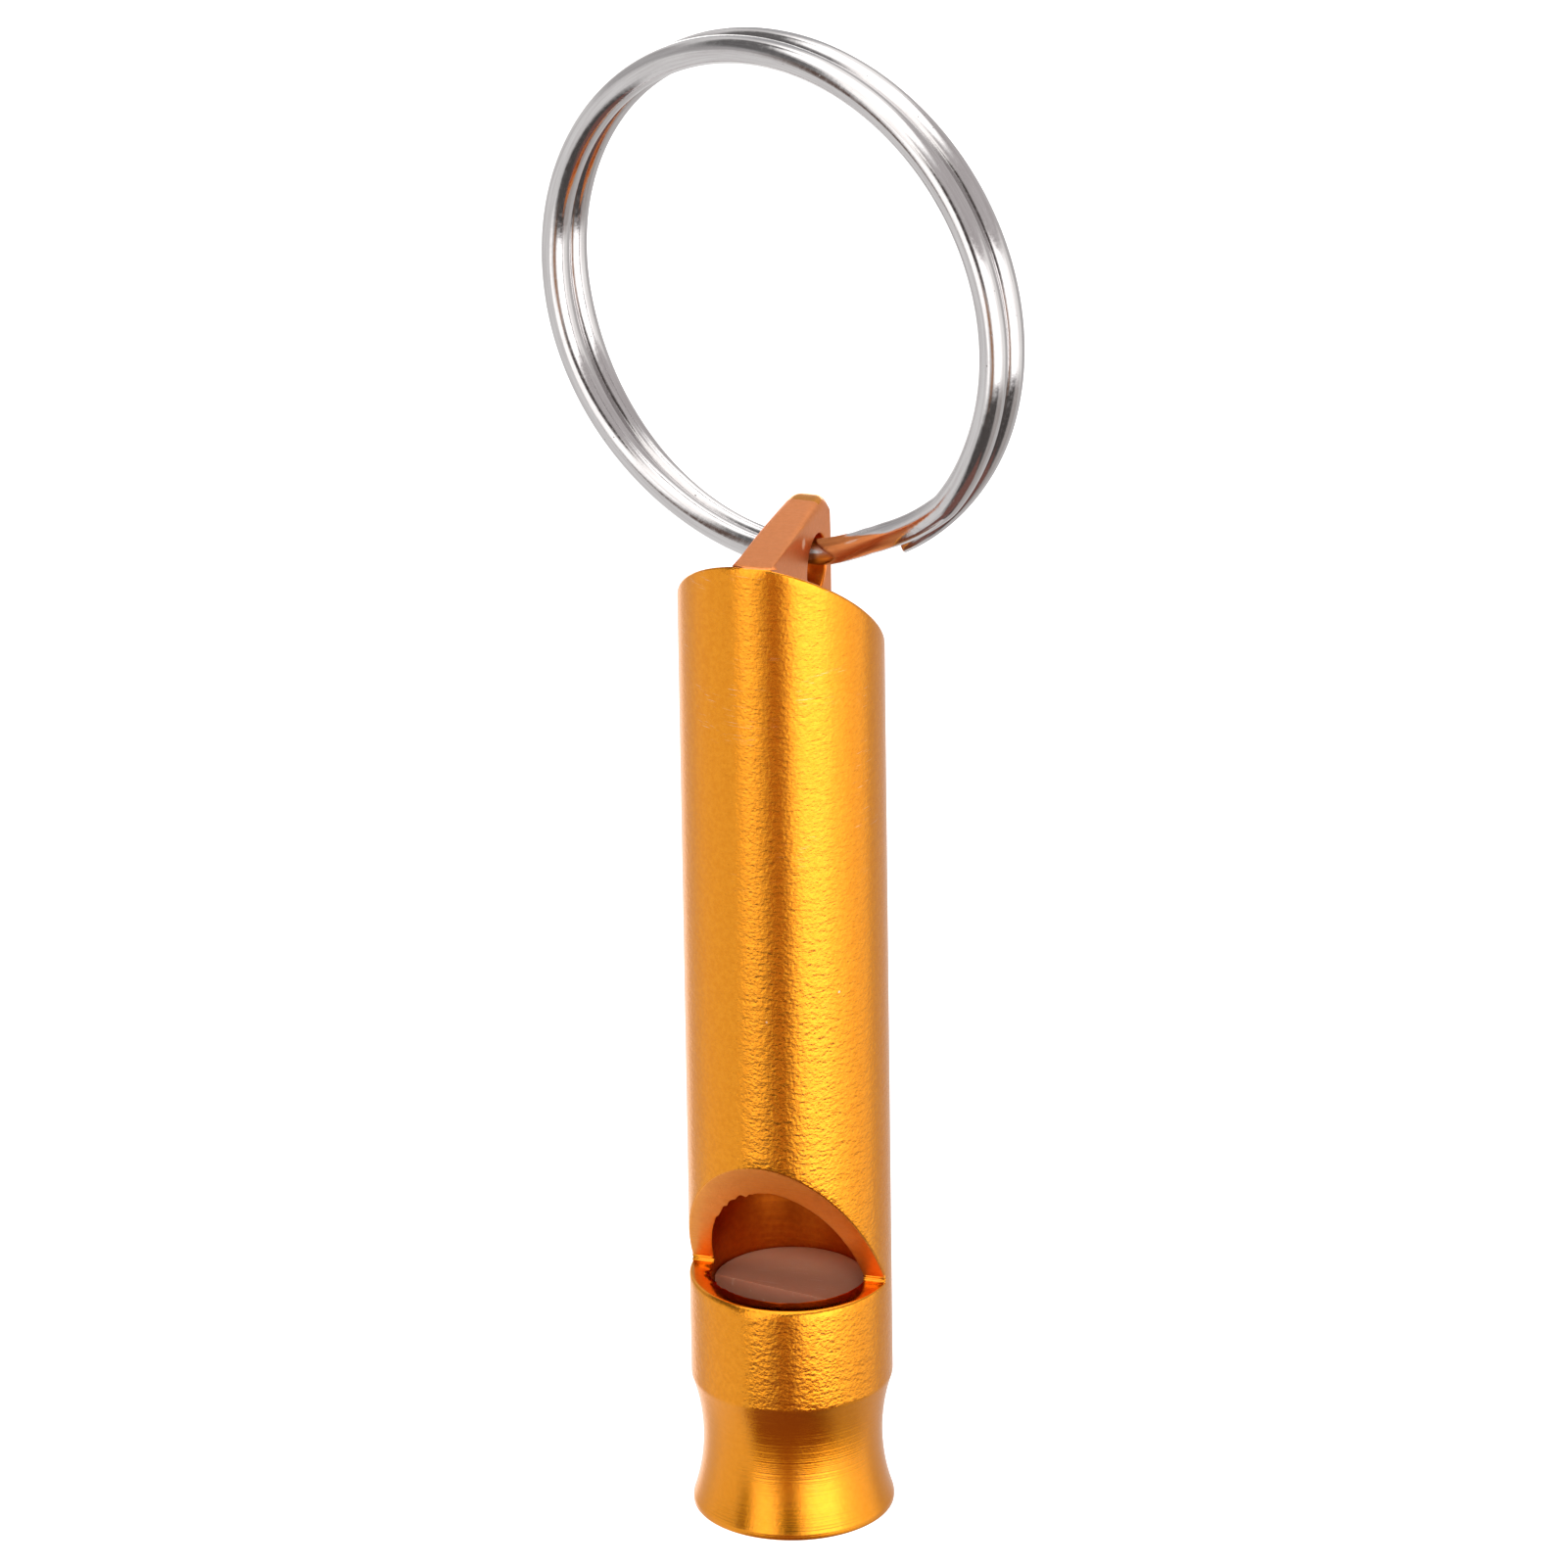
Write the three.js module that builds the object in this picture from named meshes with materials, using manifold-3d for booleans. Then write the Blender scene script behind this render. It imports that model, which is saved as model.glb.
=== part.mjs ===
// Bird training whistle: a tube whistle turned from one aluminium rod, a plastic fipple plug pressed
// into its mouth, and a split key ring of spring-steel wire through the fin at its closed end.
// Millimetres, +Z up. The whistle hangs from the ring, so the origin is the inside of the ring's top,
// where a hook or a finger carries it. The window faces -Y and the fin stands in the YZ plane.
import * as THREE from 'three';
import { mergeVertices } from 'three/addons/utils/BufferGeometryUtils.js';
import Module from 'manifold-3d';

// Barrel: heights are measured from the mouth rim
const barrelDiameter = 8.0;
const whistleLength = 41.4;
const boreDiameter = 6.2;
const boreDepth = 31.0;
const drillPointAngle = 118;

// Mouth end: a lip, then a concave neck turned with one radius up to the plain barrel
const lipHeight = 0.3;
const lipChamfer = 0.12;
const mouthChamfer = 0.2;
const neckWaistDiameter = 7.1;
const neckHeight = 5.7;

// Window: a notch with a level sill, a blunt root left by the cutter's tip, and a steep ramp
const sillHeight = 10.04;
const windowDepth = 3.71;
const notchRootFlat = 0.27;
const rampAngle = 57.5;

// Closed end: cut on a slant on both sides of a fin, which keeps the rod's full outline
const slantAngle = 41.0;
const finThickness = 1.5;
const finCornerRadius = 0.3;
const finBackRadius = 0.12;
const ringHoleDiameter = 2.7;
const ringHoleBehindAxis = 2.0;
const ringHoleBelowTop = 2.1;
const ringHoleChamfer = 0.15;

// Fipple plug: pressed into the bore, with a flat that leaves the windway along the front wall
const plugClearance = 0.1;
const plugBelowSill = 0.44;
const plugInsideMouth = 0.6;
const plugEdgeBreak = 0.1;
const windwayHeight = 2.1;

// Split ring: wire of oval section, about two turns, crossing over at the fin
const ringMeanDiameter = 20.5;
const wireRadial = 1.12;
const wireAxial = 1.0;
const turnGap = 0.42;
const ringTwist = -17.4;
const crossoverStart = -6;
const crossoverEnd = 32;
const frontTurnEnd = -5;
const rearTurnEnd = 33;
const crossoverFlattening = 0.45;
const flatteningStart = 2;
const flatteningEnd = 48;
const finOnRing = 1.1;
const wireAboveHoleAxis = 0.55;
const wireBehindHoleAxis = 0.12;

// Facets
const aroundBarrel = 64;
const aroundHole = 32;
const alongNeck = 14;
const alongCorner = 8;
const stepsPerTurn = 64;
const aroundWire = 12;
const overcut = 1.0;

const radians = THREE.MathUtils.degToRad;
const barrelRadius = barrelDiameter / 2;
const boreRadius = boreDiameter / 2;

const wasm = await Module();
wasm.setup();

// A closed geometry as a solid for joining and cutting
function solidOf(geometry) {
  const bare = geometry.clone();
  bare.deleteAttribute('normal');
  bare.deleteAttribute('uv');
  const merged = mergeVertices(bare, 1e-5);
  return new wasm.Manifold(new wasm.Mesh({
    numProp: 3,
    vertProperties: new Float32Array(merged.attributes.position.array),
    triVerts: new Uint32Array(merged.index.array),
  }));
}

// A solid back as a geometry with flat-shaded normals
function geometryOf(solid) {
  const mesh = solid.getMesh();
  const geometry = new THREE.BufferGeometry();
  geometry.setAttribute('position', new THREE.BufferAttribute(new Float32Array(mesh.vertProperties), 3));
  geometry.setIndex(new THREE.BufferAttribute(new Uint32Array(mesh.triVerts), 1));
  geometry.computeVertexNormals();
  return geometry;
}

// A profile of [radius, height] points turned about the Z axis
function turned(profile, segments) {
  const points = profile.map(([radius, height]) => new THREE.Vector2(radius, height));
  return new THREE.LatheGeometry(points, segments).rotateX(Math.PI / 2);
}

// An outline drawn in the YZ plane and carried along X from one side to the other
function acrossX(outline, fromX, toX) {
  const geometry = new THREE.ExtrudeGeometry(outline, {
    depth: toX - fromX,
    bevelEnabled: false,
    curveSegments: alongCorner,
  });
  const toYZ = new THREE.Matrix4().makeBasis(
    new THREE.Vector3(0, 1, 0), new THREE.Vector3(0, 0, 1), new THREE.Vector3(1, 0, 0),
  );
  return geometry.applyMatrix4(toYZ).translate(fromX, 0, 0);
}

function outlineOf(points) {
  return new THREE.Shape(points.map(([y, z]) => new THREE.Vector2(y, z)));
}

// The neck is one arc through the lip's top edge, the waist half way up and the barrel's edge
function neckProfile() {
  const waistRadius = neckWaistDiameter / 2;
  const halfHeight = (neckHeight - lipHeight) / 2;
  const depth = barrelRadius - waistRadius;
  const arcRadius = (halfHeight ** 2 + depth ** 2) / (2 * depth);
  const waistHeight = lipHeight + halfHeight;
  const points = [];
  for (let i = 0; i <= alongNeck; i += 1) {
    const z = lipHeight + (2 * halfHeight * i) / alongNeck;
    const inward = Math.sqrt(arcRadius ** 2 - (z - waistHeight) ** 2);
    points.push([waistRadius + arcRadius - inward, z]);
  }
  return points;
}

// The turned and drilled rod before milling: up the drill point, down the bore, out over the rim,
// up the neck and the barrel, and back to the axis across the plain end
function rodSolid() {
  const drillPoint = boreRadius / Math.tan(radians(drillPointAngle / 2));
  return solidOf(turned([
    [0, boreDepth + drillPoint],
    [boreRadius, boreDepth],
    [boreRadius, mouthChamfer],
    [boreRadius + mouthChamfer, 0],
    [barrelRadius - lipChamfer, 0],
    [barrelRadius, lipChamfer],
    ...neckProfile(),
    [barrelRadius, whistleLength],
    [0, whistleLength],
  ], aroundBarrel));
}

// The window's notch: level sill, blunt root, ramp up to the outside of the barrel
function windowCutter() {
  const rootY = windowDepth - barrelRadius;
  const outsideY = -barrelRadius - overcut;
  const rampFoot = sillHeight + notchRootFlat;
  const rampTop = rampFoot + (rootY - outsideY) * Math.tan(radians(rampAngle));
  const outline = outlineOf([[outsideY, sillHeight], [rootY, sillHeight], [rootY, rampFoot], [outsideY, rampTop]]);
  const halfWidth = barrelRadius + overcut;
  return solidOf(acrossX(outline, -halfWidth, halfWidth));
}

// The fin seen from above: flat sides, and rounded edges where it meets the back of the rod
function finSolid() {
  const face = finThickness / 2;
  const centreX = face - finBackRadius;
  const centreY = barrelRadius - finBackRadius;
  const outline = new THREE.Shape();
  outline.moveTo(-face, -barrelRadius - overcut);
  outline.lineTo(face, -barrelRadius - overcut);
  outline.lineTo(face, centreY);
  outline.absarc(centreX, centreY, finBackRadius, 0, Math.PI / 2, false);
  outline.lineTo(-centreX, barrelRadius);
  outline.absarc(-centreX, centreY, finBackRadius, Math.PI / 2, Math.PI, false);
  const height = whistleLength + 2 * overcut;
  return solidOf(new THREE.ExtrudeGeometry(outline, {
    depth: height,
    bevelEnabled: false,
    curveSegments: alongCorner,
  }));
}

// What is milled off the closed end: a slant falling from the front edge to the back, less the fin
function slantCutter() {
  const fall = Math.tan(radians(slantAngle));
  const frontY = -barrelRadius;
  const backY = barrelRadius + overcut;
  const top = whistleLength + overcut;
  const outline = outlineOf([
    [frontY - overcut / fall, top],
    [backY, whistleLength - (backY - frontY) * fall],
    [backY, top],
  ]);
  const halfWidth = barrelRadius + overcut;
  return solidOf(acrossX(outline, -halfWidth, halfWidth)).subtract(finSolid());
}

// What is taken off to round the fin's corner at the top of its back edge
function cornerCutter() {
  const centreY = barrelRadius - finCornerRadius;
  const centreZ = whistleLength - finCornerRadius;
  const outline = new THREE.Shape();
  outline.moveTo(barrelRadius + overcut, centreZ);
  outline.lineTo(barrelRadius + overcut, whistleLength + overcut);
  outline.lineTo(centreY, whistleLength + overcut);
  outline.lineTo(centreY, whistleLength);
  outline.absarc(centreY, centreZ, finCornerRadius, Math.PI / 2, 0, true);
  return solidOf(acrossX(outline, -finThickness, finThickness));
}

// Centre of the hole in the fin, in the whistle's own frame
const ringHole = new THREE.Vector3(0, ringHoleBehindAxis, whistleLength - ringHoleBelowTop);

// The cross hole in the fin, with both edges broken
function ringHoleCutter() {
  const holeRadius = ringHoleDiameter / 2;
  const face = finThickness / 2;
  const wide = holeRadius + ringHoleChamfer;
  return solidOf(turned([
    [0, -face - overcut],
    [wide, -face - overcut],
    [wide, -face],
    [holeRadius, -face + ringHoleChamfer],
    [holeRadius, face - ringHoleChamfer],
    [wide, face],
    [wide, face + overcut],
    [0, face + overcut],
  ], aroundHole).rotateY(Math.PI / 2).translate(ringHole.x, ringHole.y, ringHole.z));
}

function barrelGeometry() {
  return geometryOf(rodSolid()
    .subtract(windowCutter())
    .subtract(slantCutter())
    .subtract(cornerCutter())
    .subtract(ringHoleCutter()));
}

// The plug: a turned cylinder with broken edges, less the flat that forms the windway
function plugGeometry() {
  const radius = boreRadius - plugClearance;
  const top = sillHeight - plugBelowSill;
  const bottom = plugInsideMouth;
  const body = solidOf(turned([
    [0, bottom],
    [radius - plugEdgeBreak, bottom],
    [radius, bottom + plugEdgeBreak],
    [radius, top - plugEdgeBreak],
    [radius - plugEdgeBreak, top],
    [0, top],
  ], aroundBarrel));
  const flatY = windwayHeight - boreRadius;
  const outline = outlineOf([
    [-barrelRadius, bottom - overcut],
    [flatY, bottom - overcut],
    [flatY, top + overcut],
    [-barrelRadius, top + overcut],
  ]);
  return geometryOf(body.subtract(solidOf(acrossX(outline, -barrelRadius, barrelRadius))));
}

// The ring's own directions: along its circle at the bottom, and its face normal towards the viewer
const ringRadius = ringMeanDiameter / 2;
const ringAlong = new THREE.Vector3(Math.cos(radians(ringTwist)), Math.sin(radians(ringTwist)), 0);
const ringFace = new THREE.Vector3(Math.sin(radians(ringTwist)), -Math.cos(radians(ringTwist)), 0);
const ringCentre = new THREE.Vector3(0, 0, wireRadial / 2 - ringRadius);
const turnPitch = wireAxial + turnGap;

// Share of the crossover that lies before an angle, easing in and out
function crossoverShare(degrees) {
  return THREE.MathUtils.smoothstep(degrees, crossoverStart, crossoverEnd);
}

// Centre of the wire at an angle round the ring from its lowest point. The wire starts as the rear
// turn on the right, goes over the top to the left, crosses to the front through the fin, and goes
// round once more as the front turn. The crossover runs nearly straight, so it lies inside the circle.
function wireFrame(degrees) {
  const turn = degrees - 360;
  const along = THREE.MathUtils.clamp((turn - flatteningStart) / (flatteningEnd - flatteningStart), 0, 1);
  const radius = ringRadius - crossoverFlattening * Math.sin(Math.PI * along) ** 2;
  const offset = turnPitch * (crossoverShare(turn) - 0.5);
  const outward = new THREE.Vector3()
    .addScaledVector(ringAlong, Math.sin(radians(degrees)))
    .addScaledVector(new THREE.Vector3(0, 0, 1), -Math.cos(radians(degrees)));
  const centre = ringCentre.clone().addScaledVector(outward, radius).addScaledVector(ringFace, offset);
  return { centre, outward };
}

// The wire as one tube of oval section between its two cut ends
function splitRingGeometry() {
  const first = rearTurnEnd;
  const last = 720 + frontTurnEnd;
  const steps = Math.round(((last - first) / 360) * stepsPerTurn);
  const positions = [];
  for (let i = 0; i <= steps; i += 1) {
    const { centre, outward } = wireFrame(first + ((last - first) * i) / steps);
    for (let j = 0; j < aroundWire; j += 1) {
      const angle = (2 * Math.PI * j) / aroundWire;
      const point = centre.clone()
        .addScaledVector(outward, (wireRadial / 2) * Math.cos(angle))
        .addScaledVector(ringFace, (wireAxial / 2) * Math.sin(angle));
      positions.push(point);
    }
  }
  const faces = [];
  for (let i = 0; i < steps; i += 1) {
    for (let j = 0; j < aroundWire; j += 1) {
      const a = i * aroundWire + j;
      const b = i * aroundWire + ((j + 1) % aroundWire);
      faces.push(a, b + aroundWire, b, a, a + aroundWire, b + aroundWire);
    }
  }
  const lastRing = steps * aroundWire;
  for (let j = 1; j < aroundWire - 1; j += 1) {
    faces.push(0, j, j + 1);
    faces.push(lastRing, lastRing + j + 1, lastRing + j);
  }
  const geometry = new THREE.BufferGeometry().setFromPoints(positions);
  geometry.setIndex(faces);
  geometry.computeVertexNormals();
  console.log(`split ring: least gap between its turns ${leastGap(positions).toFixed(2)} mm`);
  return geometry;
}

// Least distance between points of the wire's surface that lie more than half a turn apart
function leastGap(points) {
  const halfTurn = (stepsPerTurn / 2) * aroundWire;
  let least = Infinity;
  for (let i = 0; i < points.length; i += 1) {
    for (let k = i + halfTurn; k < points.length; k += 1) {
      least = Math.min(least, points[i].distanceToSquared(points[k]));
    }
  }
  return Math.sqrt(least);
}

function meshOf(name, geometry, colour, roughness, metalness) {
  const material = new THREE.MeshStandardMaterial({ color: colour, roughness, metalness });
  const mesh = new THREE.Mesh(geometry, material);
  mesh.name = name;
  return mesh;
}

const anodisedGold = '#e8920f';
const milkyPlastic = '#b98a78';
const polishedSteel = '#c9c9cb';

const splitRing = meshOf('split_ring', splitRingGeometry(), polishedSteel, 0.18, 1.0);

// The whistle hangs with the wire near the top of the hole in its fin, clear of the hole's wall
const whistle = new THREE.Group();
whistle.add(meshOf('barrel', barrelGeometry(), anodisedGold, 0.32, 1.0));
whistle.add(meshOf('fipple_plug', plugGeometry(), milkyPlastic, 0.35, 0.0));
whistle.position.copy(wireFrame(360 + finOnRing).centre).sub(ringHole);
whistle.position.y -= wireBehindHoleAxis;
whistle.position.z -= wireAboveHoleAxis;

const assembly = new THREE.Group();
assembly.add(splitRing);
assembly.add(whistle);

export default assembly;
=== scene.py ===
# Bird training whistle: a tube whistle turned from one gold anodised aluminium rod, with a milky
# plastic fipple plug pressed into its mouth, hanging from a split ring of polished spring steel.
# Shapes are worked out in millimetres and put into their meshes in metres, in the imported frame.
import bmesh
import bpy
import math
import numpy as np
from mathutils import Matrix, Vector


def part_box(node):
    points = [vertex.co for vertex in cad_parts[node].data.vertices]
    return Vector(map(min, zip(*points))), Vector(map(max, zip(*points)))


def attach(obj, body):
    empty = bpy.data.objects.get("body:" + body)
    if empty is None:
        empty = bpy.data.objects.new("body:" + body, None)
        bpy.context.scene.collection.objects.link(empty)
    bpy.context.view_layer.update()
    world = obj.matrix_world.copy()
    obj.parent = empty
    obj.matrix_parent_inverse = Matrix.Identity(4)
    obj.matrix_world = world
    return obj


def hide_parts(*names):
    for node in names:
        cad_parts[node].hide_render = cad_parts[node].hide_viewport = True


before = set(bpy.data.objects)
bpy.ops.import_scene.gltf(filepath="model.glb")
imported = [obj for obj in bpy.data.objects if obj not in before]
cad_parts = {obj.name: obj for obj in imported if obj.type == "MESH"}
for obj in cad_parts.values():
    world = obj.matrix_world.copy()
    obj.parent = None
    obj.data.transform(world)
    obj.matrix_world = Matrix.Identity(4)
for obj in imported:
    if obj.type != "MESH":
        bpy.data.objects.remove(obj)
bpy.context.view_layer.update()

# Barrel. One aluminium rod: turned with a lip and a concave neck, drilled from the mouth, notched
# for the window, and milled away on a slant at the closed end on both sides of a thin fin with a
# cross hole. It is blasted, tumbled and anodised gold after all cutting.
barrel_low, barrel_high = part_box("barrel")
mouth_centre = np.array([
    (barrel_low.x + barrel_high.x) / 2,
    (barrel_low.y + barrel_high.y) / 2,
    barrel_low.z,
]) * 1000
BARREL_RADIUS = 4.0
BARREL_TOP = 41.4
BORE_RADIUS = 3.1
BORE_DEPTH = 31.0
DRILL_POINT = BORE_RADIUS / math.tan(math.radians(59))
LIP_HEIGHT = 0.3
NECK_TOP = 5.7
NECK_WAIST_RADIUS = 3.56
SILL_HEIGHT = 10.04
RAMP_FOOT = 10.31
RAMP_RISE = math.tan(math.radians(57.5))
NOTCH_ROOT = -0.29
FIN_HALF = 0.76
FIN_SHIFT = 0.11
FIN_RISE = 0.37
SLANT_BACK_HEIGHT = 34.446
HOLE_RADIUS = 1.25
HOLE_Y = 2.0
HOLE_Z = 39.3

# Numbers of the barrel's finishes, in the order of its materials
BLASTED, LATHED, MILLED, DRILLED, SAWN = range(5)


def ruled(first_edge, second_edge, shares=(0, 1)):
    """Grid of straight lines: point (s, i) lies at share s of the way from point i of the first
    edge to point i of the second. The shares may be set for each line of their own."""
    share = np.asarray(shares, float)
    share = share.reshape(len(share), -1, 1)
    return first_edge[None] * (1 - share) + second_edge[None] * share


def ring_edge(radius, angles, height):
    """Edge on a cylinder about the rod's axis: x is radius times sine and y is minus radius times
    cosine of the angle, so that angle 0 is the window's side; the height may change along it."""
    height = np.broadcast_to(height, angles.shape)
    return np.stack([radius * np.sin(angles), -radius * np.cos(angles), height], -1)


def turned(radii, heights, angles):
    """Profile turned about the rod's axis: row i is a ring of the i-th radius at the i-th height."""
    return np.stack([ring_edge(r, angles, h) for r, h in zip(radii, heights)])


def smooth_share(value, start, end):
    """0 before start, 1 after end, easing in and out between them."""
    share = np.clip((value - start) / (end - start), 0, 1)
    return share * share * (3 - 2 * share)


# Columns of the grids, from the back round the left, the front and the right to the back again, with
# breaks where the fin's faces and the notch's root meet the wall
FIN_COLUMNS = 6
SIDE_COLUMNS = 58
half_count = FIN_COLUMNS + SIDE_COLUMNS
middle = 2 * half_count
cut_angle = math.acos(-NOTCH_ROOT / BARREL_RADIUS)
bore_cut_angle = math.acos(-NOTCH_ROOT / BORE_RADIUS)


def half_round(fin_face):
    """Angles from the front round to the back on one side, whose fin face lies at this distance."""
    fin_angle = math.asin(fin_face / BARREL_RADIUS)
    return np.concatenate([
        np.linspace(0, fin_angle, FIN_COLUMNS + 1),
        np.linspace(fin_angle, cut_angle, SIDE_COLUMNS + 1)[1:],
        np.linspace(cut_angle, math.pi - fin_angle, SIDE_COLUMNS + 1)[1:],
        np.linspace(math.pi - fin_angle, math.pi, FIN_COLUMNS + 1)[1:],
    ])


def both_sides(left_half, right_half):
    """Angles of the left side, mirrored, carried on to those of the right side."""
    return np.concatenate([-left_half[:0:-1], right_half])


half_bore = np.concatenate([
    np.linspace(0, bore_cut_angle, half_count + 1),
    np.linspace(bore_cut_angle, math.pi, half_count + 1)[1:],
])
wall = both_sides(half_round(FIN_HALF - FIN_SHIFT), half_round(FIN_HALF + FIN_SHIFT))
bore = both_sides(half_bore, half_bore)
front = slice(middle - half_count, middle + half_count + 1)
left_back = slice(0, middle - half_count + 1)
right_back = slice(middle + half_count, 2 * middle + 1)
fin_front = slice(middle - FIN_COLUMNS, middle + FIN_COLUMNS + 1)


def ramp_height(y):
    """Height of the window's ramp: from the foot at the root it climbs towards the outside."""
    return RAMP_FOOT + np.maximum(NOTCH_ROOT - y, 0) * RAMP_RISE


def slant_height(y):
    """Height of the slanted cut, which falls evenly from the fin's front corners to the back."""
    front_corner = -math.sqrt(BARREL_RADIUS ** 2 - FIN_HALF ** 2)
    fall = (BARREL_TOP - SLANT_BACK_HEIGHT) / (BARREL_RADIUS - front_corner)
    return BARREL_TOP - np.maximum(y - front_corner, 0) * fall


def ragged(angles, centre, width, depth, seed):
    """Torn edge: random teeth, one for each column, blurred over a few of them, deep about an angle
    in degrees and nearly gone a width away from it."""
    teeth = np.random.default_rng(seed).random(len(angles)) ** 3
    teeth = np.convolve(teeth, (0.2, 0.5, 0.9, 0.5, 0.2), "same")
    return depth * teeth * (0.08 + np.exp(-((np.degrees(angles) - centre) / width) ** 2))


wall_y = -BARREL_RADIUS * np.cos(wall)
bore_y = -BORE_RADIUS * np.cos(bore)
notch_top = ring_edge(BARREL_RADIUS, wall, ramp_height(wall_y))
bore_notch_clean = ring_edge(BORE_RADIUS, bore, ramp_height(bore_y))
wall_top = ring_edge(BARREL_RADIUS, wall, slant_height(wall_y))
wall_top[fin_front, 2] = BARREL_TOP
sill_outer = ring_edge(BARREL_RADIUS, wall, SILL_HEIGHT)
sill_clean = ring_edge(BORE_RADIUS, bore, SILL_HEIGHT)

# Burrs that the milling cutter left along the window's inner edges, hanging down and leaning in,
# and chips out of the sill's edge, which is lower and further out there
BURR_HANG = 0.8
BURR_LEAN = 0.35
CHIP_DROP = 0.5
in_window = np.abs(bore) < bore_cut_angle - 1e-9
burr = ragged(bore, centre=-24, width=24, depth=0.19, seed=5) * in_window
chip = ragged(bore, centre=-66, width=17, depth=0.26, seed=11) * in_window
bore_notch_top = bore_notch_clean - burr[:, None] * [0, 0, BURR_HANG]
bore_notch_top[:, :2] *= (1 - BURR_LEAN * burr / BORE_RADIUS)[:, None]
sill_inner = sill_clean - chip[:, None] * [0, 0, CHIP_DROP]
sill_inner[:, :2] *= (1 + chip / BORE_RADIUS)[:, None]

# Mouth: in from the bore's edge, out over the rim, round the lip and up the neck's arc
NECK_ROWS = 28
neck_z = np.linspace(LIP_HEIGHT, NECK_TOP, NECK_ROWS + 1)
neck_half = (NECK_TOP - LIP_HEIGHT) / 2
neck_depth = BARREL_RADIUS - NECK_WAIST_RADIUS
neck_arc = (neck_half ** 2 + neck_depth ** 2) / (2 * neck_depth)
from_waist = neck_z - LIP_HEIGHT - neck_half
neck_r = NECK_WAIST_RADIUS + neck_arc - np.sqrt(neck_arc ** 2 - from_waist ** 2)
neck_grid = turned(neck_r, neck_z, wall)
lip_grid = turned([BARREL_RADIUS, BARREL_RADIUS], [0, LIP_HEIGHT], wall)
rim_grid = turned([BORE_RADIUS, BARREL_RADIUS], [0, 0], wall)
bore_mouth = ring_edge(BORE_RADIUS, wall, 0)

# Wall and bore below and above the window, with rows close to the window's edges and the slant's, so
# that rounded or torn edges end there; the drill's point closes the bore
BESIDE_EDGE = np.array([0, 0, 0.45])
BESIDE_TEAR = np.array([0, 0, 0.3])
lower_wall = np.stack([neck_grid[-1], sill_outer - 2 * BESIDE_EDGE, sill_outer - BESIDE_EDGE, sill_outer])
upper_wall = np.stack([notch_top, notch_top + BESIDE_EDGE, wall_top - BESIDE_EDGE, wall_top])
lower_bore = np.stack([bore_mouth, sill_clean - BESIDE_TEAR, sill_inner])
bore_end = ring_edge(BORE_RADIUS, bore, BORE_DEPTH)
upper_bore = np.stack([bore_notch_top, bore_notch_clean + BESIDE_TEAR, bore_end])
drill_tip = np.broadcast_to([0.0, 0.0, BORE_DEPTH + DRILL_POINT], bore_end.shape)


def torn_strip(outer, clean, torn):
    """Surface of the window that runs in from the wall and breaks off at a torn inner edge: even
    lines towards the clean edge for most of the way, and the torn edge as its last row."""
    return np.concatenate([ruled(outer[front], clean[front], (0, 0.5, 0.86)), torn[front][None]])


sill_grid = torn_strip(sill_outer, sill_clean, sill_inner)
ramp_grid = torn_strip(notch_top, bore_notch_clean, bore_notch_top)

# Root: the saw left two low ridges with a groove between them along it
ROOT_SHARES = (0, 0.2, 0.4, 0.6, 0.8, 1)
RIDGES = (0, -0.05, 0.02, 0.08, -0.03, 0)


def grooved(points):
    """Points on the root's plane, moved in and out by the ridges' height there; others stay."""
    share = (points[..., 2] - SILL_HEIGHT) / (RAMP_FOOT - SILL_HEIGHT)
    on_root = np.abs(points[..., 1] - NOTCH_ROOT) < 1e-6
    return points + (np.interp(share, ROOT_SHARES, RIDGES) * on_root)[..., None] * [0, 1, 0]


def behind_root(lower_edge, upper_edge):
    """Strips of a wall that close the notch behind the root, on the left and on the right."""
    return [
        grooved(ruled(lower_edge[part], upper_edge[part], ROOT_SHARES))
        for part in (left_back, right_back)
    ]


root_grids = [grooved(ruled(sill_grid[:, end], ramp_grid[:, end], ROOT_SHARES)) for end in (0, -1)]

# Fin: the top strip and the back, with rows close together where its top rolls over to the back
ROLL_SHARES = (0.83, 0.86, 0.885, 0.91, 0.93, 0.95, 0.965, 0.98, 0.99, 1)
top_shares = np.concatenate([np.linspace(0, 0.8, 18), ROLL_SHARES])
back_shares = np.concatenate([np.linspace(0, 0.9, 8), [0.925, 0.945, 0.96, 0.975, 0.9875, 1]])
roll_start = len(top_shares) - len(ROLL_SHARES)
back_angles = np.concatenate([wall[-FIN_COLUMNS - 1:], wall[1:FIN_COLUMNS + 1] + 2 * math.pi])
back_foot = ring_edge(BARREL_RADIUS, back_angles, slant_height(-BARREL_RADIUS * np.cos(back_angles)))
back_head = ring_edge(BARREL_RADIUS, back_angles, BARREL_TOP + FIN_RISE)
fin_back = ruled(back_foot, back_head, back_shares)
fin_top = ruled(wall_top[fin_front], back_head[::-1], top_shares)

# Rows of a face's fan, as shares of the way in to the hole, for lines from the foot and other lines
FOOT_FAN = (0, 0.2, 0.33, 0.46, 0.6, 0.75, 0.88, 1)
EDGE_FAN = (0, 0.06, 0.13, 0.21, 0.30, 0.42, 0.62, 1)


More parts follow.
